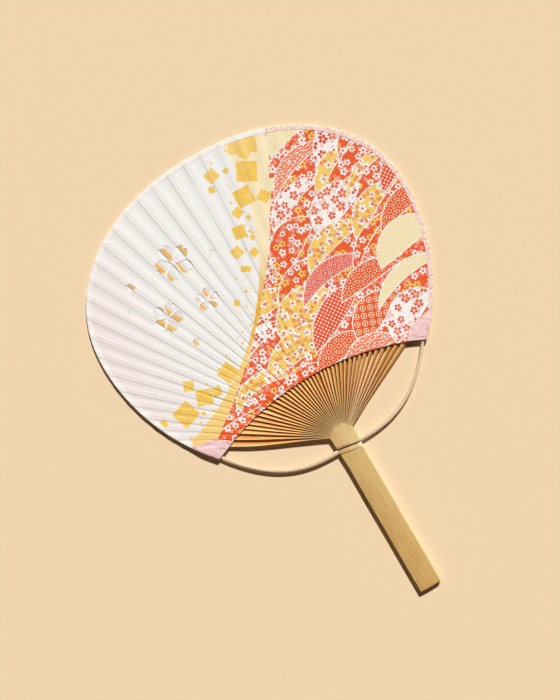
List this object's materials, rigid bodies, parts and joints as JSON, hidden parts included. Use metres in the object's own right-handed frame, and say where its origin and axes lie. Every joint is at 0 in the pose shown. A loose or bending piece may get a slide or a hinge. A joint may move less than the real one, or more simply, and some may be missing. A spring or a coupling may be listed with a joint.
{
  "type": "round uchiwa hand fan",
  "caption": "Round hand fan with a flat split-bamboo handle, a fan of thin bamboo ribs held by a curved bow, and a pleated paper leaf with a printed front.",
  "frame": {"origin": "on the flat back of the handle, midway across its width, under the point where the bow crosses it", "axes": "+Y runs up the fan from the handle towards the far rim of the leaf, +X to the fan's right as the printed front is seen, +Z out of the printed front"},
  "size_m": [0.2603, 0.3607, 0.005],
  "materials": {
    "culm_skin": "smooth bamboo skin, satin",
    "split_bamboo": "split bamboo, fibrous",
    "peeled_bamboo": "peeled pale bamboo, satin",
    "thread": "twisted cotton",
    "plain_paper": "plain mulberry paper, matt",
    "printed_paper": "printed mulberry paper with gold flakes, matt",
    "binding_paper": "thin tinted paper, matt",
    "ear_paper": "tinted paper, matt"
  },
  "bodies": {
    "root": {"handle": "culm_skin", "ribs": "split_bamboo", "bow": "peeled_bamboo", "lacing_thread": "thread", "back_paper": "plain_paper", "front_paper": "printed_paper", "edge_binding": "binding_paper", "left_ear": "ear_paper", "right_ear": "ear_paper"}
  },
  "joints": []
}
